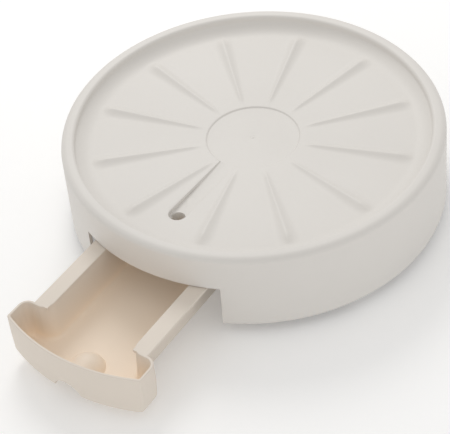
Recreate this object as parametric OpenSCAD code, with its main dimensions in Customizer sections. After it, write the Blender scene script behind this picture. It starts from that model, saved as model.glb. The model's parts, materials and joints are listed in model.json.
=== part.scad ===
// Rolling plant caddy: a round moulded deck on four swivel casters, with a
// pull-out water tray that catches what drains through the deck.
// Origin: centre of the round recess in the deck, on its flat face. +Z is up
// and the tray pulls out towards -Y. The tray is drawn part-way out.

/* [Deck] */
// Outer diameter at the lower edge of the skirt
base_d = 300; // [280:1:360]
// Height from the rim's crest to the lower edge of the skirt
skirt_h = 64; // [60:0.5:80]
// How much the skirt's radius shrinks towards the top
skirt_taper = 1.8; // [0:0.1:3]
// Wall thickness of the moulding
wall = 2.8; // [2.2:0.1:3.4]
// Height of the rim's crest above the recess
rim_h = 15.8; // [13:0.1:18]
// Radius of the rim's outer edge
rim_round = 5; // [3:0.5:6]
// Width of the rim's flat crest
rim_crest = 3; // [2:0.5:5]
// Width of the slope from the crest down to the deck
rim_slope = 9; // [7:0.1:10]
// Depth of the deck at the rim's foot, below the crest
rim_drop = 10.8; // [8:0.1:12]
// Diameter of the recess in the middle
recess_d = 72; // [50:1:90]
// Depth of that recess
recess_depth = 1; // [0.5:0.1:1.5]

/* [Ridges] */
// Number of ridges that the pot stands on
ridge_count = 12; // [8:2:16]
// Gap between the recess and a ridge's inner end
ridge_gap = 8; // [5:1:15]
// Distance from the rim's foot to a ridge's outer end
ridge_margin = 4.7; // [4:0.1:20]
// Width of a ridge at its outer end
ridge_w = 11; // [7:0.5:14]
// Height of a ridge at its outer end
ridge_h = 2.2; // [1.5:0.1:3]

/* [Drain] */
// Diameter of the drain hole
drain_d = 11; // [8:0.5:14]
// Distance from the drain hole to the rim's foot
drain_margin = 29.7; // [25:0.1:50]
// Width of the channel that leads to the hole
channel_w = 13.5; // [12:0.5:18]
// Depth of the channel's floor below the recess
channel_drop = 0.1; // [0:0.1:0.8]

/* [Water tray] */
// How far the tray is drawn out
tray_out = 94.5; // [0:0.5:150]
// Width of the doorway in the skirt
door_w = 119; // [110:1:130]
// Height of the doorway
door_h = 35.3; // [30:0.1:45]
// Outside width of the tray's trough
trough_w = 78; // [66:1:84]
// Width of each slide flange
flange_w = 11; // [8:0.5:12]
// Thickness of the slide flanges
flange_t = 2.5; // [2:0.1:3]
// Wall thickness of the tray
tray_wall = 2; // [1.6:0.1:2.6]
// Depth of the tray's wide front, along the slide
head_depth = 33.5; // [28:0.5:40]
// Width of the finger recess under the front
finger_w = 25; // [20:0.5:30]
// Height of the finger recess
finger_h = 9.5; // [7:0.5:12]

/* [Casters] */
// Distance between the casters, side to side
caster_dx = 170; // [168:1:176]
// Distance between the casters, front to back
caster_dy = 108; // [104:1:112]
// Overall height of a caster
caster_h = 50; // [48:0.5:56]
// Wheel diameter
wheel_d = 40; // [36:1:40]
// Wheel width
wheel_w = 18; // [14:0.5:19]
// Distance from the swivel axis to the axle
caster_trail = 22; // [16:0.5:22]
// Gap between the skirt and the floor
floor_gap = 9; // [8:0.5:12]
// Length of a mounting plate
plate_l = 48; // [44:1:50]
// Width of a mounting plate
plate_w = 42; // [38:1:44]
// Thickness of the plate and of the fork's sheet
sheet_t = 2; // [1.6:0.1:2.4]
// Diameter of the axle
axle_d = 6; // [5:0.5:7]

/* [Hidden] */
$fn = 96;
fit_gap = 0.4;            // between the tray and what guides it
door_gap = 0.5;           // between the tray's front and the doorway's sides
run_gap = 0.05;           // running fit, on the radius
face_gap = 0.2;           // between faces that turn past each other
overcut = 1;              // how far a cutting shape runs past a face
rib_t = 2;
rib_h = 13;
arc_steps = 6;

rim_z = rim_h;
skirt_z = rim_z - skirt_h;
floor_z = skirt_z - floor_gap;
base_r = base_d / 2;
top_r = base_r - skirt_taper;
crest_r = top_r - rim_round - rim_crest;
foot_r = crest_r - rim_slope;
foot_z = rim_z - rim_drop;
recess_r = recess_d / 2;
recess_lip = 0.8;         // width of the slope around the recess
under_slope = 0.85 * wall; // sideways thickness of the rim's slope
rib_top_z = foot_z;       // what hangs under the deck is cut to its mid-wall below this

door_top_z = skirt_z + door_h;
tray_top_z = door_top_z - 2 * door_gap;
tray_bottom_z = skirt_z + door_gap;
trough_r = trough_w / 2;
flange_r = trough_r + flange_w;
head_r = door_w / 2 - door_gap;
head_back_y = -(base_r - head_depth);
tray_back_y = base_r - 20.5;
head_corner = 8;
head_fillet = 6.5;
rear_corner = 14;
flange_back_y = tray_back_y - 10;

ledge_top_z = tray_top_z - flange_t - 0.3;
ledge_t = 2.4;
rail_in_r = flange_r + fit_gap;
rail_t = 2;
rail_out_r = rail_in_r + rail_t;
rail_front_y = head_back_y + head_fillet + 1;
rail_back_y = tray_back_y - 1;
ear_t = 2.5;
ear_w = 7.4;
ear_l = 14;
ear_top_z = -6;
ear_x = rail_out_r + ear_w / 2;
ear_y = caster_dy / 2;
rail_screw_d = 3;

plate_z = floor_z + caster_h;
plate_hole_x = plate_l / 2 - 5;
plate_hole_y = plate_w / 2 - 5;
plate_screw_d = 3.5;
screw_grip = 8;           // how deep a plate screw goes into its boss
rail_grip = 5;            // and a rail screw
boss_wall = 2.6;
race_r = 10.5;
ball_r = 1.9;
ball_z = -4.3;            // below the top of the plate
ball_count = 14;
race_gap = 0.1;
kingpin_d = 8;
crown_r = 16;
crown_z = ball_z - ball_r - 0.4;
axle_z = wheel_d / 2 - caster_h;
fork_in = wheel_w / 2 + 1;
fork_out = fork_in + sheet_t;
hub_half = fork_in - face_gap;
sleeve_r = axle_d / 2 + 1.5;
hub_r = sleeve_r + 3;
wheel_wall = 3;
spoke_count = 6;

// Each caster's name, the side and end it is on, and the way its wheel trails
CORNERS = [
    ["front_left", -1, -1, -42],
    ["front_right", 1, -1, -1],
    ["rear_left", -1, 1, 94],
    ["rear_right", 1, 1, -6]
];
CASTER_PIECES = [
    "caster_plate", "plate_screws", "kingpin", "swivel_balls", "caster_fork",
    "axle_bolt", "axle_nut", "axle_sleeve", "wheel"
];

// Height of the deck's top between the recess and the rim's foot
function deck_z(r) = recess_depth
    + (foot_z - recess_depth) * (r - recess_r) / (foot_r - recess_r);
// Outside radius of the tapered skirt at a height
function skirt_r(z) = base_r - skirt_taper * (z - skirt_z) / (rim_z - rim_round - skirt_z);
function arc(cx, cz, r, from, to) = [
    for (i = [0 : arc_steps]) let (a = from + (to - from) * i / arc_steps)
        [cx + r * cos(a), cz + r * sin(a)]
];
// The rim's slope: steep below the crest, with a long soft foot
function rim_curve(dx, dz) = [
    for (i = [0 : 2 * arc_steps]) let (t = i / (2 * arc_steps))
        [crest_r - rim_slope * t + dx, foot_z + rim_drop * (1 + cos(180 * pow(t, 0.7))) / 2 + dz]
];
// The wall's middle line, from the recess out to the skirt
function mid_wall() = concat(
    [[0, -wall / 2], [recess_r + recess_lip + wall / 2, -wall / 2],
     [recess_r + recess_lip + wall / 2, deck_z(recess_r + recess_lip) - wall / 2]],
    reversed(rim_curve(under_slope / 2, -wall / 2)),
    reversed(arc(top_r - rim_round, rim_z - rim_round, rim_round - wall / 2, 0, 90))
);
// Radius of a round ridge with a width and a height at the deck's face
function ridge_radius(w, h) = (w * w / 4 + h * h) / (2 * h);
function reversed(list) = [for (i = [len(list) - 1 : -1 : 0]) list[i]];

// ---- Deck ----

module deck_profile() {
    inner_round = rim_round - wall;
    polygon(concat(
        [[0, 0], [recess_r, 0], [recess_r + recess_lip, deck_z(recess_r + recess_lip)]],
        reversed(rim_curve(0, 0)),
        reversed(arc(top_r - rim_round, rim_z - rim_round, rim_round, 0, 90)),
        [[base_r, skirt_z], [base_r - wall, skirt_z]],
        arc(top_r - rim_round, rim_z - rim_round, inner_round, 0, 90),
        rim_curve(under_slope, -wall),
        [[recess_r + recess_lip + wall, deck_z(recess_r + recess_lip) - wall],
         [recess_r + recess_lip + wall, -wall], [0, -wall]]
    ));
}

module ridge() {
    in_r = recess_r + ridge_gap;
    out_r = foot_r - ridge_margin;
    in_h = 0.5;
    in_rad = ridge_radius(3, in_h);
    out_rad = ridge_radius(ridge_w, ridge_h);
    in_z = deck_z(in_r) + in_h - in_rad;
    out_z = deck_z(out_r) + ridge_h - out_rad;
    run = out_r - in_r;
    translate([in_r, 0, in_z])
        rotate([0, 90 + atan((in_z - out_z) / run), 0])
            cylinder(h = norm([run, in_z - out_z]), r1 = in_rad, r2 = out_rad);
}

// Everything below the middle of the deck's wall, out to the middle of the skirt's
module under_deck() rotate_extrude()
    polygon(concat(mid_wall(), [[base_r - wall / 2, skirt_z], [0, skirt_z]]));

// The channel from the recess to the drain hole, as a cutting shape or, wider, as its underside
module channel(w, low_z, high_z) {
    drain_y = -(foot_r - drain_margin);
    translate([0, 0, low_z])
        linear_extrude(high_z - low_z) {
            translate([0, drain_y]) circle(d = w);
            translate([-w / 2, drain_y]) square([w, -drain_y - recess_r + 5]);
        }
}

module deck_ribs() {
    for (side = [-1, 1]) {
        x0 = rail_out_r + fit_gap;
        for (y = [-1, 0, 1] * (caster_dy / 2 - plate_w / 2 - 3.5))
            translate([side > 0 ? x0 : -base_r, y - rib_t / 2, -rib_h])
                cube([base_r - x0, rib_t, rib_h + rib_top_z]);
        gap_y = caster_dy - plate_w - 7;
        translate([side * caster_dx / 2 - rib_t / 2, -gap_y / 2, -rib_h])
            cube([rib_t, gap_y, rib_h + rib_top_z]);
    }
    // stops behind the tray
    stop_y = tray_back_y + 0.8;
    for (side = [-1, 1])
        translate([side * 24.5 - rib_t / 2, stop_y, tray_bottom_z + 8])
            cube([rib_t, base_r - stop_y, rib_top_z - tray_bottom_z - 8]);
}

module caster_pad() {
    pad_h = rib_top_z - plate_z;
    frame_l = plate_l + 1;
    frame_w = plate_w + 1;
    translate([0, 0, plate_z]) {
        difference() {
            translate([-frame_l / 2, -frame_w / 2, 0]) cube([frame_l, frame_w, pad_h]);
            translate([-frame_l / 2 + rib_t, -frame_w / 2 + rib_t, -overcut])
                cube([frame_l - 2 * rib_t, frame_w - 2 * rib_t, pad_h + 2 * overcut]);
        }
        for (sx = [-1, 1], sy = [-1, 1])
            translate([sx * plate_hole_x, sy * plate_hole_y, 0])
                cylinder(h = pad_h, d = plate_screw_d + 2 * boss_wall);
    }
}

module deck_shell() color([0.87, 0.85, 0.82]) {
    drain_y = -(foot_r - drain_margin);
    difference() {
        union() {
            rotate_extrude() deck_profile();
            difference() {
                for (i = [0 : ridge_count - 1])
                    rotate([0, 0, -90 + (i + 0.5) * 360 / ridge_count]) ridge();
                under_deck();
            }
            intersection() {
                union() {
                    channel(channel_w + 4, -wall - 1.2, rib_top_z);
                    translate([0, drain_y, -9]) cylinder(h = 9 + rib_top_z, d = drain_d + 5);
                    deck_ribs();
                    for (c = CORNERS)
                        translate([c[1] * caster_dx / 2, c[2] * caster_dy / 2, 0]) caster_pad();
                    for (sx = [-1, 1], sy = [-1, 1])
                        translate([sx * ear_x, sy * ear_y, ear_top_z])
                            cylinder(h = rib_top_z - ear_top_z, d = ear_w - 0.4);
                }
                under_deck();
            }
        }
        channel(channel_w, -channel_drop, foot_z + overcut);
        translate([0, drain_y, -10]) cylinder(h = 20, d = drain_d);
        translate([-door_w / 2, -base_r - overcut, skirt_z - overcut])
            cube([door_w, base_r + head_back_y, door_h + overcut]);
        for (c = CORNERS, sx = [-1, 1], sy = [-1, 1])
            translate([c[1] * caster_dx / 2 + sx * plate_hole_x,
                       c[2] * caster_dy / 2 + sy * plate_hole_y, plate_z - overcut])
                cylinder(h = screw_grip + overcut + 0.3, d = plate_screw_d + 0.1);
        for (sx = [-1, 1], sy = [-1, 1])
            translate([sx * ear_x, sy * ear_y, ear_top_z - overcut])
                cylinder(h = rail_grip + overcut + 0.3, d = rail_screw_d + 0.1);
    }
}

// ---- Guide rails ----

// The right-hand rail: an upright wall, a ledge under the flange and two ears
module guide_rail() color([0.84, 0.81, 0.77]) {
    rail_l = rail_back_y - rail_front_y;
    ledge_x = trough_r + 1;
    difference() {
        union() {
            translate([rail_in_r, rail_front_y, ledge_top_z - ledge_t])
                cube([rail_t, rail_l, ear_top_z - ledge_top_z + ledge_t]);
            translate([ledge_x, rail_front_y, ledge_top_z - ledge_t])
                cube([rail_out_r - ledge_x, rail_l, ledge_t]);
            for (sy = [-1, 1])
                translate([rail_in_r, sy * ear_y - ear_l / 2, ear_top_z - ear_t])
                    cube([rail_t + ear_w, ear_l, ear_t]);
        }
        for (sy = [-1, 1])
            translate([ear_x, sy * ear_y, ear_top_z - ear_t - overcut])
                cylinder(h = ear_t + 2 * overcut, d = rail_screw_d + 0.4);
    }
}

// A pan-head screw, head down, its head's flat face at z = 0
module pan_screw(d, grip, head_d, head_h) {
    slot_w = 0.9;
    cylinder(h = grip, d = d);
    difference() {
        translate([0, 0, -head_h]) cylinder(h = head_h, d1 = head_d * 0.8, d2 = head_d);
        for (a = [0, 90])
            rotate([0, 0, a])
                translate([-head_d * 0.28, -slot_w / 2, -head_h - overcut])
                    cube([head_d * 0.56, slot_w, overcut + 1.2]);
    }
}

module rail_screws(side) color("silver")
    for (sy = [-1, 1])
        translate([side * ear_x, sy * ear_y, ear_top_z - ear_t])
            pan_screw(rail_screw_d, ear_t + rail_grip, 5.6, 1.9);

// ---- Water tray, drawn closed and moved out by tray_out ----

// Plan of the tray, taken in by o on every side but the front
module tray_plan(o) {
    rc = rear_corner - o;
    hc = head_corner - o;
    hf = head_fillet + o;
    side_x = trough_r - o;
    back_y = tray_back_y - o;
    ear_out = head_r - o;
    neck_y = head_back_y - o;
    translate([-side_x, neck_y - 5]) square([2 * side_x, back_y - rc - neck_y + 5]);
    translate([-side_x + rc, back_y - rc - 1]) square([2 * (side_x - rc), rc + 1]);
    translate([-ear_out, -base_r - overcut]) square([2 * ear_out, neck_y - hc + base_r + overcut]);
    translate([-ear_out + hc, neck_y - hc - 1]) square([2 * (ear_out - hc), hc + 1]);
    for (side = [-1, 1]) {
        translate([side * (side_x - rc), back_y - rc]) circle(rc);
        translate([side * (ear_out - hc), neck_y - hc]) circle(hc);
        difference() {
            translate([side > 0 ? side_x - 1 : -side_x - hf, neck_y - 1])
                square([hf + 1, hf + 1]);
            translate([side * (side_x + hf), neck_y + hf]) circle(hf);
        }
    }
}

// The tray's plan between two heights, its front following the skirt
module tray_block(o, low_z, high_z) {
    intersection() {
        translate([0, 0, low_z]) linear_extrude(high_z - low_z) tray_plan(o);
        translate([0, 0, low_z])
            cylinder(h = high_z - low_z, r1 = skirt_r(low_z) - o, r2 = skirt_r(high_z) - o, $fn = 180);
    }
}

// The finger recess: a round-topped groove that ends in a dome
module finger_dome(grow) {
    r = finger_w / 2 + grow;
    dome_z = tray_bottom_z + finger_h - finger_w / 2;
    dome_y = -base_r + 22.5;
    intersection() {
        union() {
            translate([0, dome_y, dome_z]) sphere(r);
            translate([0, dome_y, dome_z]) rotate([90, 0, 0])
                cylinder(h = 25 + (grow > 0 ? -6 : 0), r = r);
        }
        translate([-r, -base_r - 10, tray_bottom_z - (grow > 0 ? 0 : overcut)])
            cube([2 * r, 60, 2 * r]);
    }
}

module water_tray() color([0.85, 0.81, 0.76])
    translate([0, -tray_out, 0])
        difference() {
            union() {
                difference() {
                    tray_block(0, tray_bottom_z, tray_top_z);
                    tray_block(tray_wall, tray_bottom_z + tray_wall, tray_top_z + overcut);
                }
                finger_dome(tray_wall);
                for (side = [-1, 1])
                    translate([side > 0 ? trough_r - tray_wall / 2 : -flange_r,
                               head_back_y, tray_top_z - flange_t])
                        cube([flange_w + tray_wall / 2, flange_back_y - head_back_y, flange_t]);
            }
            finger_dome(0);
        }

// ---- Casters, drawn with the plate's top at z = 0 and the wheel trailing along +X ----

module caster_plate() color("lightgray")
    difference() {
        union() {
            translate([-plate_l / 2, -plate_w / 2, -sheet_t]) cube([plate_l, plate_w, sheet_t]);
            translate([0, 0, ball_z + 0.4]) cylinder(h = -ball_z - 0.4, r = race_r + 3.5);
        }
        rotate_extrude() translate([race_r, ball_z]) circle(ball_r + race_gap, $fn = 48);
        translate([0, 0, -caster_h]) cylinder(h = 2 * caster_h, d = kingpin_d);
        translate([0, 0, -1.2]) cylinder(h = 1.2 + overcut, d = kingpin_d + 5);
        for (sx = [-1, 1], sy = [-1, 1])
            translate([sx * plate_hole_x, sy * plate_hole_y, -sheet_t - overcut])
                cylinder(h = sheet_t + 2 * overcut, d = plate_screw_d + 0.7);
    }

module plate_screws() color("silver")
    for (sx = [-1, 1], sy = [-1, 1])
        translate([sx * plate_hole_x, sy * plate_hole_y, -sheet_t])
            pan_screw(plate_screw_d, sheet_t + screw_grip, 6.8, 2.2);

// The rivet that the fork swivels on, fixed in the plate
module kingpin() color("gray") {
    head_z = crown_z - sheet_t - race_gap;
    translate([0, 0, head_z]) cylinder(h = -1.2 - head_z, d = kingpin_d);
    translate([0, 0, -1.2]) cylinder(h = 1, d = kingpin_d + 4);
    translate([0, 0, head_z - 1.8]) cylinder(h = 1.8, d1 = kingpin_d, d2 = kingpin_d + 4);
}

module swivel_balls() color("white")
    for (i = [0 : ball_count - 1])
        rotate([0, 0, i * 360 / ball_count])
            translate([race_r, 0, ball_z]) sphere(ball_r, $fn = 32);

module fork_leg() {
    boss_r = 6.5;
    rotate([90, 0, 0])
        linear_extrude(sheet_t) {
            translate([caster_trail, axle_z]) circle(boss_r);
            polygon([[-7, crown_z - sheet_t / 2], [14, crown_z - sheet_t / 2],
                     [caster_trail + boss_r - 0.4, axle_z + 2.4],
                     [caster_trail + boss_r - 1.2, axle_z], [caster_trail, axle_z - boss_r + 0.6],
                     [caster_trail - boss_r + 1.8, axle_z - 2.6]]);
        }
}

module caster_fork() color("lightgray")
    difference() {
        union() {
            translate([0, 0, crown_z - sheet_t]) cylinder(h = sheet_t, r = crown_r);
            translate([0, 0, crown_z - overcut]) cylinder(h = ball_z - 0.4 - crown_z + overcut, r = race_r + 3.5);
            difference() {
                translate([0, 0, crown_z - sheet_t]) cylinder(h = sheet_t + 3.6, r = crown_r);
                translate([0, 0, crown_z]) cylinder(h = 5, r = crown_r - 1.5);
            }
            for (side = [-1, 1])
                translate([0, side * (fork_in + sheet_t / 2) + sheet_t / 2, 0]) fork_leg();
        }
        rotate_extrude() translate([race_r, ball_z]) circle(ball_r + race_gap, $fn = 48);
        translate([0, 0, -caster_h]) cylinder(h = 2 * caster_h, d = kingpin_d + 2 * run_gap);
        translate([caster_trail, caster_h, axle_z]) rotate([90, 0, 0])
            cylinder(h = 2 * caster_h, d = axle_d);
    }

module axle_bolt() color("silver")
    translate([caster_trail, 0, axle_z]) rotate([90, 0, 0]) {
        translate([0, 0, -fork_out - 3.2]) cylinder(h = 2 * fork_out + 3.2, d = axle_d);
        translate([0, 0, fork_out]) cylinder(h = 2.4, d1 = axle_d + 5, d2 = axle_d + 3);
    }

module axle_nut() color("gray")
    translate([caster_trail, fork_out, axle_z]) rotate([-90, 0, 0])
        difference() {
            cylinder(h = 3, d = axle_d + 5, $fn = 6);
            translate([0, 0, -overcut]) cylinder(h = 3 + 2 * overcut, d = axle_d);
        }

module axle_sleeve() color("gray")
    translate([caster_trail, 0, axle_z]) rotate([90, 0, 0])
        difference() {
            translate([0, 0, -fork_in + 0.05]) cylinder(h = 2 * fork_in - 0.1, r = sleeve_r);
            translate([0, 0, -fork_in]) cylinder(h = 2 * fork_in, d = axle_d + 2 * run_gap);
        }

module wheel() color([0.93, 0.93, 0.92]) {
    r = wheel_d / 2;
    half = wheel_w / 2;
    edge = 1.5;
    in_r = r - wheel_wall;
    web = 2;
    translate([caster_trail, 0, axle_z]) rotate([90, 0, 0]) {
        rotate_extrude()
            polygon(concat(
                [[sleeve_r + run_gap, -hub_half], [hub_r, -hub_half], [hub_r, -web],
                 [in_r, -web], [in_r, -half]],
                arc(r - edge, -half + edge, edge, -90, 0),
                arc(r - edge, half - edge, edge, 0, 90),
                [[in_r, half], [in_r, web], [hub_r, web], [hub_r, hub_half],
                 [sleeve_r + run_gap, hub_half]]));
        for (i = [0 : spoke_count - 1])
            rotate([0, 0, i * 360 / spoke_count])
                translate([hub_r - 1, -0.8, -half + 2])
                    cube([in_r - hub_r + 2, 1.6, wheel_w - 4]);
    }
}

module caster_piece(piece) {
    if (piece == "caster_plate") caster_plate();
    if (piece == "plate_screws") plate_screws();
    if (piece == "kingpin") kingpin();
    if (piece == "swivel_balls") swivel_balls();
    if (piece == "caster_fork") caster_fork();
    if (piece == "axle_bolt") axle_bolt();
    if (piece == "axle_nut") axle_nut();
    if (piece == "axle_sleeve") axle_sleeve();
    if (piece == "wheel") wheel();
}

// The pieces that turn with the fork
function swivels(piece) = piece != "caster_plate" && piece != "plate_screws"
    && piece != "kingpin" && piece != "swivel_balls";

deck_shell();
water_tray();
guide_rail();  // guide_rail_right
mirror([1, 0, 0]) guide_rail();  // guide_rail_left
rail_screws(1);  // rail_screws_right
rail_screws(-1);  // rail_screws_left
for (c = CORNERS, p = CASTER_PIECES)
    translate([c[1] * caster_dx / 2, c[2] * caster_dy / 2, plate_z])
            rotate([0, 0, swivels(p) ? c[3] : 0])
                caster_piece(p);
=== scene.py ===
import json
import math

import bmesh
import bpy
from mathutils import Matrix, Vector


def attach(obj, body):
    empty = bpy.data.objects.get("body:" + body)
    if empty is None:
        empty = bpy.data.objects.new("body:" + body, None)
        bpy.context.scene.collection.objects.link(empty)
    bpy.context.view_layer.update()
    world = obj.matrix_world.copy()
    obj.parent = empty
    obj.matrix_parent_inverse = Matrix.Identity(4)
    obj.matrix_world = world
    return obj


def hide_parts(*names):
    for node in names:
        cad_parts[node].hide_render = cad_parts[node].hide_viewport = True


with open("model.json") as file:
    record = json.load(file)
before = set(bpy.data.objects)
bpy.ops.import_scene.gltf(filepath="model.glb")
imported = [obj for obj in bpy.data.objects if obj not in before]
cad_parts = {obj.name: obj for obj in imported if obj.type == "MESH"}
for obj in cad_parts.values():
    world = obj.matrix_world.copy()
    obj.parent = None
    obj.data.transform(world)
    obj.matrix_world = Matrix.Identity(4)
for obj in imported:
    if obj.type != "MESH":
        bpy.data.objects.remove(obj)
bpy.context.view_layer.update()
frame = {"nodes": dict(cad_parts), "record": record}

# ---- Sizes, in millimetres unless a name says otherwise ----

MM = 0.001
WALL = 2.8
BASE_R, SKIRT_BOTTOM = 150.0, -48.2
TOP_R, RIM_Z, RIM_ROUND, RIM_CREST = 148.2, 15.8, 5.0, 3.0
CREST_R = TOP_R - RIM_ROUND - RIM_CREST
FOOT_R, FOOT_Z = CREST_R - 9.0, 5.0
EDGE_ROUND, COVE_R, COVE_TURN, DECK_SLOPE = 2.6, 18.0, 46.0, 2.4
PLATE = 0.85 * WALL
RECESS_R, RECESS_LIP, RECESS_DEPTH = 36.0, 0.8, 1.0
RIDGES = 12
RIDGE_IN, RIDGE_OUT = 44.0, 126.5
RIDGE_HALF, RIDGE_HALF_GROWTH = 3.2, 6.6
RIDGE_HEIGHT, RIDGE_HEIGHT_GROWTH = 0.9, 2.3
RIDGE_CREST, RIDGE_CREST_GROWTH = 0.5, 0.5
FINE_SECTOR, FINE_STEPS, PLAIN_STEPS = 10.4, 26, 10
DRAIN_Y, DRAIN_R, CHANNEL_HALF, CHANNEL_Z = -101.5, 5.5, 6.75, -0.1
DOOR_HALF, DOOR_TOP = 59.5, -12.9
GROUND_GAP = 9.0
FLOOR_Z = SKIRT_BOTTOM - GROUND_GAP

TRAY_OUT = 94.5
TRAY_TOP, TRAY_BOTTOM = -13.9, -47.7
TRAY_WALL, TRAY_DRAFT = 2.0, 2.4
TROUGH_HALF, FLANGE_HALF, HEAD_HALF = 39.0, 50.0, 59.0
HEAD_BACK, TRAY_BACK = -116.5, 129.5
HEAD_CORNER, NECK_FILLET, REAR_CORNER = 8.0, 6.5, 14.0
FINGER_R, FINGER_Y, FINGER_Z = 12.5, -127.5, -50.7
FLANGE_THICK, LIP, BOTTOM_ROUND, FLOOR_ROUND = 2.5, 0.6, 2.6, 3.2

MERGE, CAD_MERGE = 0.002, 0.0008


def deck_height(r):
    """Height of the deck's top face between the recess and the rim's foot."""
    return RECESS_DEPTH + (FOOT_Z - RECESS_DEPTH) * (r - RECESS_R) / (FOOT_R - RECESS_R)


def skirt_radius(z):
    top = RIM_Z - RIM_ROUND
    return BASE_R - (BASE_R - TOP_R) * (z - SKIRT_BOTTOM) / (top - SKIRT_BOTTOM)


def smooth_step(start, end, x):
    t = min(max((x - start) / (end - start), 0.0), 1.0)
    return t * t * (3 - 2 * t)


def arc(cx, cz, r, start, end, steps):
    """Points along an arc, angles in degrees, both ends included."""
    angles = [math.radians(start + (end - start) * i / steps) for i in range(steps + 1)]
    return [(cx + r * math.cos(a), cz + r * math.sin(a)) for a in angles]


def rim_curve(dr, dz, steps):
    """A slope from the crest to the foot, steep at the top, moved by (dr, dz)."""
    drop = RIM_Z - FOOT_Z
    return [(CREST_R + dr - (CREST_R - FOOT_R) * i / steps,
             FOOT_Z + dz + drop * (1 + math.cos(math.pi * (i / steps) ** 0.7)) / 2)
            for i in range(steps + 1)]


# ---- Mesh helpers ----

def link_mesh(name, bm):
    """Puts a millimetre bmesh into the scene as an object in metres."""
    bmesh.ops.scale(bm, vec=(MM, MM, MM), verts=bm.verts)
    mesh = bpy.data.meshes.new(name)
    bm.to_mesh(mesh)
    bm.free()
    obj = bpy.data.objects.new(name, mesh)
    bpy.context.scene.collection.objects.link(obj)
    return obj


def combine(obj, tool, operation):
    """Boolean of two closed shapes, applied; the tool is used up."""
    step = obj.modifiers.new("shape", "BOOLEAN")
    step.operation, step.solver, step.object = operation, "MANIFOLD", tool
    graph = bpy.context.evaluated_depsgraph_get()
    shaped = bpy.data.meshes.new_from_object(obj.evaluated_get(graph))
    obj.modifiers.clear()
    obj.data = shaped
    bpy.data.objects.remove(tool)


def keep_body(obj):
    """Drops the closed scraps that Booleans leave inside a wall, and keeps the largest body."""
    bm = bmesh.new()
    bm.from_mesh(obj.data)
    bmesh.ops.remove_doubles(bm, verts=bm.verts, dist=MERGE * MM)
    bmesh.ops.dissolve_degenerate(bm, dist=MERGE / 2 * MM, edges=bm.edges)
    left = set(bm.faces)
    bodies = []
    while left:
        body = set()
        reached = [left.pop()]
        while reached:
            face = reached.pop()
            body.add(face)
            near = {f for e in face.edges for f in e.link_faces if f in left}
            left -= near
            reached.extend(near)
        bodies.append(body)
    bodies.sort(key=len)
    scraps = [face for body in bodies[:-1] for face in body]
    bmesh.ops.delete(bm, geom=scraps, context="FACES")
    bm.to_mesh(obj.data)
    bm.free()


def shade(obj, angle):
    """Smooth faces, with a sharp edge wherever they turn by more than an angle in degrees."""
    for face in obj.data.polygons:
        face.use_smooth = True
    obj.data.set_sharp_from_angle(angle=math.radians(angle))


def give_material(obj, material):
    obj.data.materials.clear()
    obj.data.materials.append(material)


def block(low, high, bevel=0.0, segments=2, keep=None):
    """A box between two corners; keep(edge) picks the edges that are rounded."""
    bm = bmesh.new()
    bmesh.ops.create_cube(bm, size=1.0)
    low, high = Vector(low), Vector(high)
    bmesh.ops.scale(bm, vec=high - low, verts=bm.verts)
    bmesh.ops.translate(bm, vec=(low + high) / 2, verts=bm.verts)
    if bevel:
        edges = [e for e in bm.edges if keep is None or keep(e)]
        bmesh.ops.bevel(bm, geom=edges, offset=bevel, offset_type="OFFSET", segments=segments,
                        profile=0.5, affect="EDGES", material=-1)
    return bm


def cylinder(radius, low_z, high_z, centre=(0.0, 0.0), steps=96):
    bm = bmesh.new()
    bmesh.ops.create_cone(bm, cap_ends=True, segments=steps, radius1=radius, radius2=radius,
                          depth=high_z - low_z)
    bmesh.ops.translate(bm, vec=(centre[0], centre[1], (low_z + high_z) / 2), verts=bm.verts)
    return bm


def spun(profile, sweeps, start=0.0):
    """Turns a profile of (radius, height) points about Z in sweeps of (degrees, steps)."""
    bm = bmesh.new()
    verts = [bm.verts.new((r, 0, z)) for r, z in profile]
    edges = [bm.edges.new(pair) for pair in zip(verts, verts[1:])]
    bmesh.ops.rotate(bm, cent=(0, 0, 0), matrix=Matrix.Rotation(math.radians(start), 3, "Z"),
                     verts=verts)
    geom = verts + edges
    for degrees, steps in sweeps:
        turned = bmesh.ops.spin(bm, geom=geom, cent=(0, 0, 0), axis=(0, 0, 1),
                                angle=math.radians(degrees), steps=steps)
        geom = turned["geom_last"]
    bmesh.ops.remove_doubles(bm, verts=bm.verts, dist=MERGE)
    bmesh.ops.recalc_face_normals(bm, faces=bm.faces)
    return bm


# ---- Deck ----

def deck_top_profile():
    """The top skin from the middle out, down the skirt, and back along a line inside the wall."""
    points = [(0, 0.12), (0.5, 0.1), (0.9, -0.18), (1.9, -0.22), (2.5, -0.04), (3.0, 0), (12, 0),
              (24, 0), (RECESS_R - 0.5, 0), (RECESS_R - 0.1, 0.06), (RECESS_R + 0.15, 0.3),
              (RECESS_R + 0.45, 0.75), (RECESS_R + 0.75, 0.98),
              (RECESS_R + 1.3, deck_height(RECESS_R + 1.3))]
    rim = inner_rim()
    r = 39.0
    while r < rim[0][0] - 1.0:
        points.append((r, deck_height(r)))
        r += 1.2 if r > 112 else 2.4
    points += rim
    points += arc(TOP_R - RIM_ROUND, RIM_Z - RIM_ROUND, RIM_ROUND, 90, 0, 12)
    for z in (0, -12, -24, -36):
        points.append((skirt_radius(z), z))
    points += [(skirt_radius(-47.4), -47.4), (BASE_R - 0.15, -47.85), (BASE_R - 0.45, -48.12),
               (BASE_R - 0.8, SKIRT_BOTTOM), (BASE_R - WALL / 2, SKIRT_BOTTOM)]
    points += mid_wall()[::-1]
    return points


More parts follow.
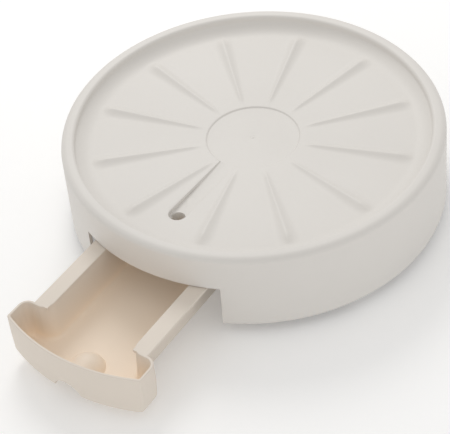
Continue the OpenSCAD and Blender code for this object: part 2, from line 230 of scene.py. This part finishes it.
def inner_rim():
    """The rim's inner side from the deck up: a wide cove, a short steep wall and a rounded edge."""
    cove_top = CREST_R - EDGE_ROUND - 0.9
    flat_sin = math.sin(math.radians(DECK_SLOPE))
    flat_cos = math.cos(math.radians(DECK_SLOPE))
    start = cove_top - COVE_R * (math.sin(math.radians(COVE_TURN)) - flat_sin)
    base = deck_height(start)
    steps = 12
    points = []
    for i in range(steps + 1):
        a = math.radians(DECK_SLOPE + (COVE_TURN - DECK_SLOPE) * i / steps)
        points.append((start + COVE_R * (math.sin(a) - flat_sin),
                       base + COVE_R * (flat_cos - math.cos(a))))
    r, z = points[-1]
    points += [(r + 0.42, z + 0.45), (r + 0.68, z + 1.0), (r + 0.82, z + 1.8)]
    points += arc(CREST_R, RIM_Z - EDGE_ROUND, EDGE_ROUND, 180, 90, 6)
    return points


def mid_wall():
    """A line inside the wall, out to the skirt, where the deck's upper and lower parts meet."""
    turn = RECESS_R + RECESS_LIP + PLATE
    points = [(0, -PLATE), (turn, -PLATE), (turn, deck_height(RECESS_R + RECESS_LIP) - PLATE)]
    points += rim_curve(0.85 * PLATE, -PLATE, 12)[::-1]
    points += arc(TOP_R - RIM_ROUND, RIM_Z - RIM_ROUND, RIM_ROUND - WALL / 2, 90, 0, 6)
    return points


def raise_ridges(bm):
    """Radial ridges with hollow sides, low and narrow by the recess, wide and high by the rim."""
    half_turn = math.pi / RIDGES
    for v in bm.verts:
        r = math.hypot(v.co.x, v.co.y)
        if not 38 < r < FOOT_R + 4 or v.co.z < deck_height(r) - 0.6:
            continue
        a = math.atan2(v.co.y, v.co.x) % (2 * half_turn) - half_turn
        across = abs(r * math.sin(a))
        along = min(max((r - RIDGE_IN) / (RIDGE_OUT - RIDGE_IN), 0.0), 1.0)
        half = RIDGE_HALF + RIDGE_HALF_GROWTH * along
        crest = RIDGE_CREST + RIDGE_CREST_GROWTH * along
        if across < half:
            height = RIDGE_HEIGHT + RIDGE_HEIGHT_GROWTH * along
            height *= smooth_step(RIDGE_IN - 5, RIDGE_IN + 6, r)
            height *= 1 - smooth_step(RIDGE_OUT - 11, RIDGE_OUT + 2, r)
            rounded = math.hypot(across, crest) - crest
            v.co.z += height * (1 - rounded / (math.hypot(half, crest) - crest)) ** 2


def channel_cutter():
    """A slot with a round end and softened edges; its floor leaves the recess level and falls."""
    def outline(half):
        down = (-33.0, -35.6, -36.2, -37.0, -38.5, -60.0, -80.0)
        points = [(-half, y) for y in down]
        points += [(half * math.cos(math.radians(a)), DRAIN_Y + half * math.sin(math.radians(a)))
                   for a in range(180, 361, 10)]
        return points + [(half, y) for y in down[::-1]]

    def surface(x, y):
        r = math.hypot(x, y)
        return deck_height(r) if r > RECESS_R + 0.6 else 0.0

    def floor_height(y):
        return 0.02 + (CHANNEL_Z - 0.06) * smooth_step(-34.0, -60.0, y)

    bm = bmesh.new()
    floor_levels = [(-0.5, 0.0), (-0.16, 0.12), (0.0, 0.45)]
    deck_levels = [(0.0, -0.4), (0.15, -0.12), (0.5, 0.08), (0.6, 3.0)]
    rings = []
    for step, (wider, above) in enumerate(floor_levels + deck_levels):
        ring = []
        for x, y in outline(CHANNEL_HALF + wider):
            z = floor_height(y) + above
            if step >= len(floor_levels):
                lowest = floor_height(y) + 0.03 * step
                z = max(surface(x, y) + above, lowest + 0.45)
            ring.append(bm.verts.new((x, y, z)))
        rings.append([bm.edges.new((a, b)) for a, b in zip(ring, ring[1:] + ring[:1])])
    for low, high in zip(rings, rings[1:]):
        bmesh.ops.bridge_loops(bm, edges=low + high)
    for ring in (rings[0], rings[-1]):
        cap = bmesh.ops.holes_fill(bm, edges=ring, sides=0)
        bmesh.ops.triangulate(bm, faces=cap["faces"])
    bmesh.ops.recalc_face_normals(bm, faces=bm.faces)
    return bm


def merged_copy(node):
    """A copy of a CAD node's mesh with its loose triangles joined, in millimetres."""
    bm = bmesh.new()
    bm.from_mesh(frame["nodes"][node].data)
    bmesh.ops.scale(bm, vec=(1 / MM,) * 3, verts=bm.verts)
    bmesh.ops.remove_doubles(bm, verts=bm.verts, dist=CAD_MERGE)
    return bm


def make_deck(material):
    """The deck: a new top skin and rim, joined inside the wall to the CAD deck's underside."""
    sector = 360 / RIDGES
    sweeps = [(FINE_SECTOR, FINE_STEPS), (sector - FINE_SECTOR, PLAIN_STEPS)] * RIDGES
    top = spun(deck_top_profile(), sweeps, start=sector / 2 - FINE_SECTOR / 2)
    raise_ridges(top)
    deck = link_mesh("deck_moulding", top)
    overlap = 0.2
    under_profile = [(0, -60), (160, -60), (160, SKIRT_BOTTOM - 1),
                     (BASE_R - WALL / 2 + overlap, SKIRT_BOTTOM - 1)]
    under_profile += [(r + overlap, z + overlap) for r, z in mid_wall()[::-1]][:-1]
    under_profile += [(0, overlap - PLATE)]
    under = spun(under_profile, [(360, 180)])

    def lintel_side(edge):
        """The doorway's upper side edges, which run in and out."""
        a, b = edge.verts
        return min(a.co.z, b.co.z) > DOOR_TOP - 0.1 and abs(a.co.x - b.co.x) < 1

    doorway = block((-DOOR_HALF, -170, -70), (DOOR_HALF, -100, DOOR_TOP), 0.8, 3, lintel_side)
    combine(deck, link_mesh("doorway", doorway), "DIFFERENCE")
    underside = link_mesh("underside", merged_copy("deck_shell"))
    combine(underside, link_mesh("below", under), "INTERSECT")
    combine(deck, underside, "UNION")
    combine(deck, link_mesh("channel", channel_cutter()), "DIFFERENCE")
    combine(deck, link_mesh("drain", cylinder(DRAIN_R, -20, 20, (0, DRAIN_Y), 64)), "DIFFERENCE")
    keep_body(deck)
    give_material(deck, material)
    shade(deck, 36)
    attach(deck, "deck")
    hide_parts("deck_shell")


# ---- Water tray ----

def tray_outline():
    """The plan at the lip, tray closed, and how many of its first points are on the curved front."""
    r = skirt_radius(TRAY_TOP)
    edge = math.degrees(math.asin(HEAD_HALF / r))
    steps = 40
    front = [(r * math.sin(math.radians(a)), -r * math.cos(math.radians(a)))
             for a in (-edge + 2 * edge * i / steps for i in range(steps + 1))]
    ear = arc(HEAD_HALF - HEAD_CORNER, HEAD_BACK - HEAD_CORNER, HEAD_CORNER, 0, 90, 10)
    neck = arc(TROUGH_HALF + NECK_FILLET, HEAD_BACK + NECK_FILLET, NECK_FILLET, 270, 180, 10)
    rear = arc(TROUGH_HALF - REAR_CORNER, TRAY_BACK - REAR_CORNER, REAR_CORNER, 0, 90, 12)
    right = ear + neck + [(TROUGH_HALF, y) for y in (-60, 0, 60)] + rear
    left = [(-x, y) for x, y in right[::-1]]
    return front + right + left, steps + 1


def make_tray(material):
    """The water tray: one face stepped down outside and inside, with flanges and a finger recess."""
    bm = bmesh.new()
    outline, front_count = tray_outline()
    floor = TRAY_BOTTOM + TRAY_WALL
    corners = []

    def step(face, order, inward, z, set_back):
        """One ring of the wall: the face inset and at height z, its front on the skirt's curve."""
        before = list(face.verts)
        bmesh.ops.inset_region(bm, faces=[face], thickness=max(inward, 0.0005), depth=0,
                               use_even_offset=True, use_boundary=True)
        after = set(face.verts)
        inner = {}
        for v in before:
            joined = [e.other_vert(v) for e in v.link_edges if e.other_vert(v) in after]
            inner[v] = v if v in after else joined[0]
        order = [inner[v] for v in order]
        radius = skirt_radius(z) - set_back
        for v in order:
            v.co.z = z
        half = abs(order[0].co.x)
        for i, v in enumerate(order[:front_count]):
            v.co.x = half * (2 * i / (front_count - 1) - 1)
            v.co.y = -math.sqrt(radius * radius - v.co.x * v.co.x)
        corners[-1].append((order[0].co.copy(), order[front_count - 1].co.copy()))
        return order

    def rounded_foot(face, order, radius, low, steps, front_share, back):
        """A quarter-round from the wall into a flat face at height low."""
        done = 0.0
        for i in range(1, steps + 1):
            a = math.radians(90 * i / steps)
            reach = radius * (1 - math.cos(a))
            height = low + radius * (1 - math.sin(a))
            order = step(face, order, reach - done, height, back + front_share * reach)
            done = reach

    # outside: down the drafted wall and round the bottom edge
    order = [bm.verts.new((x, y, TRAY_TOP - LIP)) for x, y in outline]
    face = bm.faces.new(order)
    corners.append([(order[0].co.copy(), order[front_count - 1].co.copy())])
    order = step(face, order, TRAY_DRAFT / 2, (TRAY_TOP + TRAY_BOTTOM) / 2, 0.0)
    order = step(face, order, TRAY_DRAFT / 2, TRAY_BOTTOM + BOTTOM_ROUND, 0.0)
    rounded_foot(face, order, BOTTOM_ROUND, TRAY_BOTTOM, 5, 0.3, 0.0)
    # inside: over the lip, down the wall and round the floor's edge
    open_edges = [e for e in bm.edges if e.is_boundary]
    open_verts = {v for e in open_edges for v in e.verts}
    order = [min(open_verts, key=lambda v: (v.co.x - x) ** 2 + (v.co.y - y) ** 2) for x, y in outline]
    face = bmesh.ops.contextual_create(bm, geom=open_edges)["faces"][0]
    corners.append([(order[0].co.copy(), order[front_count - 1].co.copy())])
    reach = 0.0
    lip_steps = ((0.08, TRAY_TOP - 0.3), (0.16, TRAY_TOP - 0.1), (0.3, TRAY_TOP), (0.92, TRAY_TOP),
                 (0.3, TRAY_TOP - 0.1), (0.16, TRAY_TOP - 0.3), (0.08, TRAY_TOP - LIP))
    for inward, z in lip_steps:
        reach += inward
        order = step(face, order, inward, z, reach)
    order = step(face, order, TRAY_DRAFT / 2, (TRAY_TOP + floor) / 2, TRAY_WALL)
    order = step(face, order, TRAY_DRAFT / 2, floor + FLOOR_ROUND, TRAY_WALL)
    rounded_foot(face, order, FLOOR_ROUND, floor, 6, 1.0, TRAY_WALL)
    bmesh.ops.recalc_face_normals(bm, faces=bm.faces)

    def nearest(point):
        return min(bm.verts, key=lambda v: (v.co - point).length_squared)

    uprights = [bm.edges.get((nearest(low[side]), nearest(high[side])))
                for chain in corners for side in (0, 1) for low, high in zip(chain, chain[1:])]
    bmesh.ops.bevel(bm, geom=[e for e in uprights if e], offset=1.6, offset_type="OFFSET", segments=4,
                    profile=0.5, affect="EDGES", material=-1, clamp_overlap=True)
    tray = link_mesh("tray_moulding", bm)
    for side in (-1, 1):
        low_x, high_x = sorted((side * (TROUGH_HALF - 1.0), side * FLANGE_HALF))
        flange = block((low_x, HEAD_BACK - 0.6, TRAY_TOP - FLANGE_THICK),
                       (high_x, TRAY_BACK - 10, TRAY_TOP), 0.5, 3,
                       lambda e: all(abs(v.co.x) > TROUGH_HALF for v in e.verts))
        combine(tray, link_mesh("flange", flange), "UNION")
    combine(tray, link_mesh("dome", finger_dome(FINGER_R + TRAY_WALL, True)), "UNION")
    combine(tray, link_mesh("finger", finger_dome(FINGER_R, False)), "DIFFERENCE")
    keep_body(tray)
    mark_inside(tray.data)
    tray.data.transform(Matrix.Translation((0, -TRAY_OUT * MM, 0)))
    give_material(tray, material)
    shade(tray, 36)
    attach(tray, "tray")
    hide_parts("water_tray")


def mark_inside(mesh):
    """Writes how deep inside the tray each point lies: 0 outside and at the lip, 1 at the floor; the tray's
    painted light and glow follow it.
    """
    inside = mesh.attributes.new("inside", "FLOAT", "POINT")
    for i, v in enumerate(mesh.vertices):
        x, y, z = v.co / MM
        depth = TRAY_TOP - z
        inset = TRAY_WALL / 2 + TRAY_DRAFT * depth / (TRAY_TOP - TRAY_BOTTOM)
        in_trough = abs(x) < TROUGH_HALF - inset and HEAD_BACK - HEAD_CORNER < y < TRAY_BACK - inset
        in_head = abs(x) < HEAD_HALF - inset and y < HEAD_BACK - inset
        neck = TROUGH_HALF + NECK_FILLET
        in_neck = (abs(x) < neck and HEAD_BACK - HEAD_CORNER < y < HEAD_BACK + NECK_FILLET
                   and math.hypot(abs(x) - neck, y - HEAD_BACK - NECK_FILLET) > NECK_FILLET + inset)
        in_skirt = math.hypot(x, y) < skirt_radius(z) - TRAY_WALL / 2
        in_finger = math.hypot(x, max(y - FINGER_Y, 0), z - FINGER_Z) < FINGER_R + TRAY_WALL / 2
        above_floor = z > TRAY_BOTTOM + TRAY_WALL / 2
        if (in_trough or in_head or in_neck) and in_skirt and above_floor and not in_finger:
            inside.data[i].value = smooth_step(1.0, 32.0, depth)


def finger_dome(radius, solid):
    """A round-ended tunnel under the tray's front; solid is the material round it."""
    bm = bmesh.new()
    bmesh.ops.create_uvsphere(bm, u_segments=64, v_segments=32, radius=radius)
    bmesh.ops.rotate(bm, cent=(0, 0, 0), matrix=Matrix.Rotation(math.pi / 2, 3, "X"), verts=bm.verts)
    bmesh.ops.bisect_plane(bm, geom=bm.verts[:] + bm.edges[:] + bm.faces[:], dist=0.001,
                           plane_co=(0, 0, 0), plane_no=(0, -1, 0), clear_outer=True)
    rim = [e for e in bm.edges if e.is_boundary]
    grown = bmesh.ops.extrude_edge_only(bm, edges=rim)
    verts = [g for g in grown["geom"] if isinstance(g, bmesh.types.BMVert)]
    reach = 19.6 if solid else 30.0
    bmesh.ops.translate(bm, vec=(0, -reach, 0), verts=verts)
    bmesh.ops.holes_fill(bm, edges=[e for e in bm.edges if e.is_boundary], sides=0)
    bmesh.ops.translate(bm, vec=(0, FINGER_Y, FINGER_Z), verts=bm.verts)
    if solid:
        # cut off inside the tray's floor
        bmesh.ops.bisect_plane(bm, geom=bm.verts[:] + bm.edges[:] + bm.faces[:], dist=0.001,
                               plane_co=(0, 0, TRAY_BOTTOM + 0.6), plane_no=(0, 0, -1), clear_outer=True)
        bmesh.ops.holes_fill(bm, edges=[e for e in bm.edges if e.is_boundary], sides=0)
    bmesh.ops.recalc_face_normals(bm, faces=bm.faces)
    return bm


# ---- Materials ----

def add_node(tree, kind, x=0, y=0, **values):
    node = tree.nodes.new(kind)
    node.location = (x, y)
    for key, value in values.items():
        setattr(node, key, value)
    return node


def principled(material):
    """The material's surface shader."""
    return next(n for n in material.node_tree.nodes if n.type == "BSDF_PRINCIPLED")


def surface_grain():
    """Fine mould texture and slow colour drift: a shade mask, a grain mask and a normal."""
    group = bpy.data.node_groups.new("surface_grain", "ShaderNodeTree")
    face = group.interface
    for name, value in (("Grain size", 1800.0), ("Drift size", 14.0), ("Depth", 0.25), ("Distance", 0.00005)):
        socket = face.new_socket(name=name, in_out="INPUT", socket_type="NodeSocketFloat")
        socket.default_value = value
    face.new_socket(name="Shade", in_out="OUTPUT", socket_type="NodeSocketFloat")
    face.new_socket(name="Grain", in_out="OUTPUT", socket_type="NodeSocketFloat")
    face.new_socket(name="Normal", in_out="OUTPUT", socket_type="NodeSocketVector")
    source = add_node(group, "NodeGroupInput", -900)
    result = add_node(group, "NodeGroupOutput", 600)
    place = add_node(group, "ShaderNodeTexCoord", -900, -300)
    grain = add_node(group, "ShaderNodeTexNoise", -600, 0)
    grain.inputs["Detail"].default_value = 3.0
    drift = add_node(group, "ShaderNodeTexNoise", -600, -300)
    drift.inputs["Detail"].default_value = 4.0
    pits = add_node(group, "ShaderNodeTexVoronoi", -600, -600)
    half = add_node(group, "ShaderNodeMath", -780, -600, operation="MULTIPLY")
    half.inputs[1].default_value = 0.45
    mix = add_node(group, "ShaderNodeMath", -350, -100, operation="MULTIPLY_ADD")
    mix.inputs[1].default_value = 0.35
    bump = add_node(group, "ShaderNodeBump", 200, -200)
    links = group.links
    for noise in (grain, drift, pits):
        links.new(place.outputs["Object"], noise.inputs["Vector"])
    links.new(source.outputs["Grain size"], grain.inputs["Scale"])
    links.new(source.outputs["Drift size"], drift.inputs["Scale"])
    links.new(source.outputs["Grain size"], half.inputs[0])
    links.new(half.outputs[0], pits.inputs["Scale"])
    links.new(pits.outputs["Distance"], mix.inputs[0])
    links.new(grain.outputs["Fac"], mix.inputs[2])
    links.new(mix.outputs[0], bump.inputs["Height"])
    links.new(source.outputs["Depth"], bump.inputs["Strength"])
    links.new(source.outputs["Distance"], bump.inputs["Distance"])
    links.new(drift.outputs["Fac"], result.inputs["Shade"])
    links.new(mix.outputs[0], result.inputs["Grain"])
    links.new(bump.outputs["Normal"], result.inputs["Normal"])
    return group


def grained_material(name, group, dark, light, rough, metallic=0.0, ior=1.5, **grain):
    """A material whose colour and roughness drift between two values, over the shared grain."""
    material = bpy.data.materials.new(name)
    material.use_nodes = True
    tree = material.node_tree
    shader = principled(material)
    grains = add_node(tree, "ShaderNodeGroup", -700, 0)
    grains.node_tree = group
    for key, value in grain.items():
        grains.inputs[key.replace("_", " ").capitalize()].default_value = value
    tint = add_node(tree, "ShaderNodeValToRGB", -400, 150)
    tint.color_ramp.elements[0].position, tint.color_ramp.elements[1].position = 0.3, 0.7
    tint.color_ramp.elements[0].color = (*dark, 1)
    tint.color_ramp.elements[1].color = (*light, 1)
    gloss = add_node(tree, "ShaderNodeMapRange", -400, -150)
    gloss.inputs["From Min"].default_value, gloss.inputs["From Max"].default_value = 0.25, 0.95
    gloss.inputs["To Min"].default_value, gloss.inputs["To Max"].default_value = rough
    tree.links.new(grains.outputs["Shade"], tint.inputs["Fac"])
    tree.links.new(tint.outputs["Color"], shader.inputs["Base Color"])
    tree.links.new(grains.outputs["Grain"], gloss.inputs["Value"])
    tree.links.new(gloss.outputs["Result"], shader.inputs["Roughness"])
    tree.links.new(grains.outputs["Normal"], shader.inputs["Normal"])
    shader.inputs["Metallic"].default_value = metallic
    shader.inputs["IOR"].default_value = ior
    return material


def paint_inside_light(material, colour):
    """Paints light into the tray: turns the base colour towards a lighter, warmer one, and adds a faint
    painted glow, by the mesh's inside value.
    """
    tree = material.node_tree
    shader = principled(material)
    outer = shader.inputs["Base Color"].links[0].from_socket
    depth = add_node(tree, "ShaderNodeAttribute", -400, 400, attribute_name="inside")
    painted_light_blend = add_node(tree, "ShaderNodeMix", -150, 250, data_type="RGBA")
    tree.links.new(depth.outputs["Fac"], painted_light_blend.inputs[0])
    tree.links.new(outer, painted_light_blend.inputs[6])
    painted_light_blend.inputs[7].default_value = (*colour, 1)
    tree.links.new(painted_light_blend.outputs[2], shader.inputs["Base Color"])
    # painted glow, standing in for light that comes through the thin floor
    painted_glow_falloff = add_node(tree, "ShaderNodeMath", -400, 600, operation="POWER")
    painted_glow_falloff.inputs[1].default_value = 6.0
    painted_glow = add_node(tree, "ShaderNodeMix", -150, 500, data_type="RGBA")
    painted_glow.inputs[6].default_value, painted_glow.inputs[7].default_value = (0, 0, 0, 1), (1.0, 0.74, 0.5, 1)
    tree.links.new(depth.outputs["Fac"], painted_glow_falloff.inputs[0])
    tree.links.new(painted_glow_falloff.outputs[0], painted_glow.inputs[0])
    tree.links.new(painted_glow.outputs[2], shader.inputs["Emission Color"])
    shader.inputs["Emission Strength"].default_value = 0.06


# ---- Build ----

grain_group = surface_grain()
deck_plastic = grained_material("deck_plastic", grain_group, (0.762, 0.734, 0.697), (0.792, 0.764, 0.727),
                                (0.46, 0.60), grain_size=1500.0, drift_size=9.0, depth=0.22)
tray_plastic = grained_material("tray_plastic", grain_group, (0.785, 0.708, 0.622), (0.815, 0.738, 0.652),
                                (0.44, 0.58), grain_size=1500.0, drift_size=11.0, depth=0.2)
# painted light: a lighter, warmer colour and a faint glow inside the tray, in place of light bouncing inside
# it and coming through its thin walls
paint_inside_light(tray_plastic, (0.92, 0.80, 0.67))
rail_plastic = grained_material("rail_plastic", grain_group, (0.66, 0.62, 0.57), (0.69, 0.65, 0.60),
                                (0.42, 0.56), grain_size=1500.0, drift_size=16.0, depth=0.2)
wheel_plastic = grained_material("wheel_plastic", grain_group, (0.74, 0.74, 0.72), (0.82, 0.82, 0.80),
                                 (0.30, 0.44), grain_size=1200.0, drift_size=50.0, depth=0.12)
caster_zinc = grained_material("caster_zinc", grain_group, (0.46, 0.47, 0.49), (0.66, 0.67, 0.69),
                               (0.24, 0.42), 1.0, grain_size=900.0, drift_size=60.0, depth=0.12)
screw_steel = grained_material("screw_steel", grain_group, (0.50, 0.51, 0.53), (0.66, 0.67, 0.69),
                               (0.22, 0.38), 1.0, grain_size=2200.0, drift_size=180.0, depth=0.1)
pin_steel = grained_material("pin_steel", grain_group, (0.44, 0.45, 0.47), (0.58, 0.59, 0.61),
                             (0.26, 0.42), 1.0, grain_size=2200.0, drift_size=160.0, depth=0.1)
ball_steel = grained_material("ball_steel", grain_group, (0.62, 0.63, 0.65), (0.72, 0.73, 0.75),
                              (0.08, 0.16), 1.0, grain_size=2500.0, drift_size=200.0, depth=0.04)
FINISHES = {"deck_plastic": deck_plastic, "tray_plastic": tray_plastic, "rail_plastic": rail_plastic,
            "wheel_plastic": wheel_plastic, "caster_zinc": caster_zinc, "screw_steel": screw_steel,
            "pin_steel": pin_steel, "ball_steel": ball_steel}

for part in frame["record"]["subparts"]:
    node = frame["nodes"][part["node"]]
    finish = FINISHES[part["material_slot"]]
    if not node.material_slots:
        node.data.materials.append(finish)
    for place in node.material_slots:
        place.material = finish

make_deck(deck_plastic)
make_tray(tray_plastic)

# ---- Floor, light and camera ----

bm = bmesh.new()
bmesh.ops.create_grid(bm, x_segments=1, y_segments=1, size=3.0 / MM)
bmesh.ops.translate(bm, vec=(0, 0, FLOOR_Z), verts=bm.verts)
floor = link_mesh("floor", bm)
pale = grained_material("pale_floor", grain_group, (0.93, 0.93, 0.93), (0.95, 0.95, 0.95), (0.7, 0.8),
                        grain_size=600.0, drift_size=3.0, depth=0.02)
glow = principled(pale)
glow.inputs["Emission Color"].default_value = (1.0, 0.995, 0.985, 1)
glow.inputs["Emission Strength"].default_value = 0.15
give_material(floor, pale)

world = bpy.data.worlds.new("studio")
bpy.context.scene.world = world
world.use_nodes = True
world.node_tree.nodes["Background"].inputs["Color"].default_value = (1.0, 0.995, 0.985, 1)
world.node_tree.nodes["Background"].inputs["Strength"].default_value = 0.67


def soft_light(name, azimuth, elevation, distance, size, watts, colour):
    """An area light seen from the deck's middle at a compass angle and a height angle."""
    data = bpy.data.lights.new(name, "AREA")
    data.shape, data.size, data.energy, data.color = "DISK", size, watts, colour
    lamp = bpy.data.objects.new(name, data)
    a, e = math.radians(azimuth), math.radians(elevation)
    away = Vector((math.cos(e) * math.sin(a), math.cos(e) * math.cos(a), math.sin(e)))
    lamp.location = away * distance
    lamp.rotation_euler = away.to_track_quat("Z", "Y").to_euler()
    bpy.context.scene.collection.objects.link(lamp)


soft_light("back_softbox", -44, 46, 1.6, 0.8, 7.6, (1.0, 0.99, 0.975))
soft_light("front_softbox", 160, 18, 1.8, 1.2, 0.9, (1.0, 0.985, 0.965))

CAMERA_ELEVATION, CAMERA_ROLL, CAMERA_AZIMUTH = 39.951, 5.163, 36.2135
CAMERA_PAN, CAMERA_TILT = 1.522, -3.998
CAMERA_DISTANCE, CAMERA_LENS = 1.017855, 105.6


def place_camera():
    """A long lens that looks down from the front right, turned a little off the deck's middle."""
    data = bpy.data.cameras.new("camera")
    data.sensor_fit, data.sensor_width, data.lens = "HORIZONTAL", 36.0, CAMERA_LENS
    data.clip_start, data.clip_end = 0.05, 20.0
    camera = bpy.data.objects.new("camera", data)
    bpy.context.scene.collection.objects.link(camera)
    e = math.radians(CAMERA_ELEVATION)
    back = Vector((0, -math.cos(e), math.sin(e)))
    ahead, right = -back, Vector((1, 0, 0))
    up = right.cross(ahead)
    turn = Matrix.Rotation(math.radians(CAMERA_PAN), 3, up)
    ahead, right = turn @ ahead, turn @ right
    turn = Matrix.Rotation(math.radians(CAMERA_TILT), 3, right)
    ahead, up = turn @ ahead, turn @ up
    turn = Matrix.Rotation(math.radians(CAMERA_ROLL), 3, ahead)
    right, up = turn @ right, turn @ up
    about = Matrix.Rotation(math.radians(CAMERA_AZIMUTH), 3, "Z")
    place = about @ (back * CAMERA_DISTANCE) + Vector((0, 0, RIM_Z * MM))
    axes = Matrix((about @ right, about @ up, -(about @ ahead))).transposed()
    camera.matrix_world = Matrix.Translation(place) @ axes.to_4x4()
    bpy.context.scene.camera = camera


place_camera()
bpy.context.scene.view_settings.view_transform = "Standard"
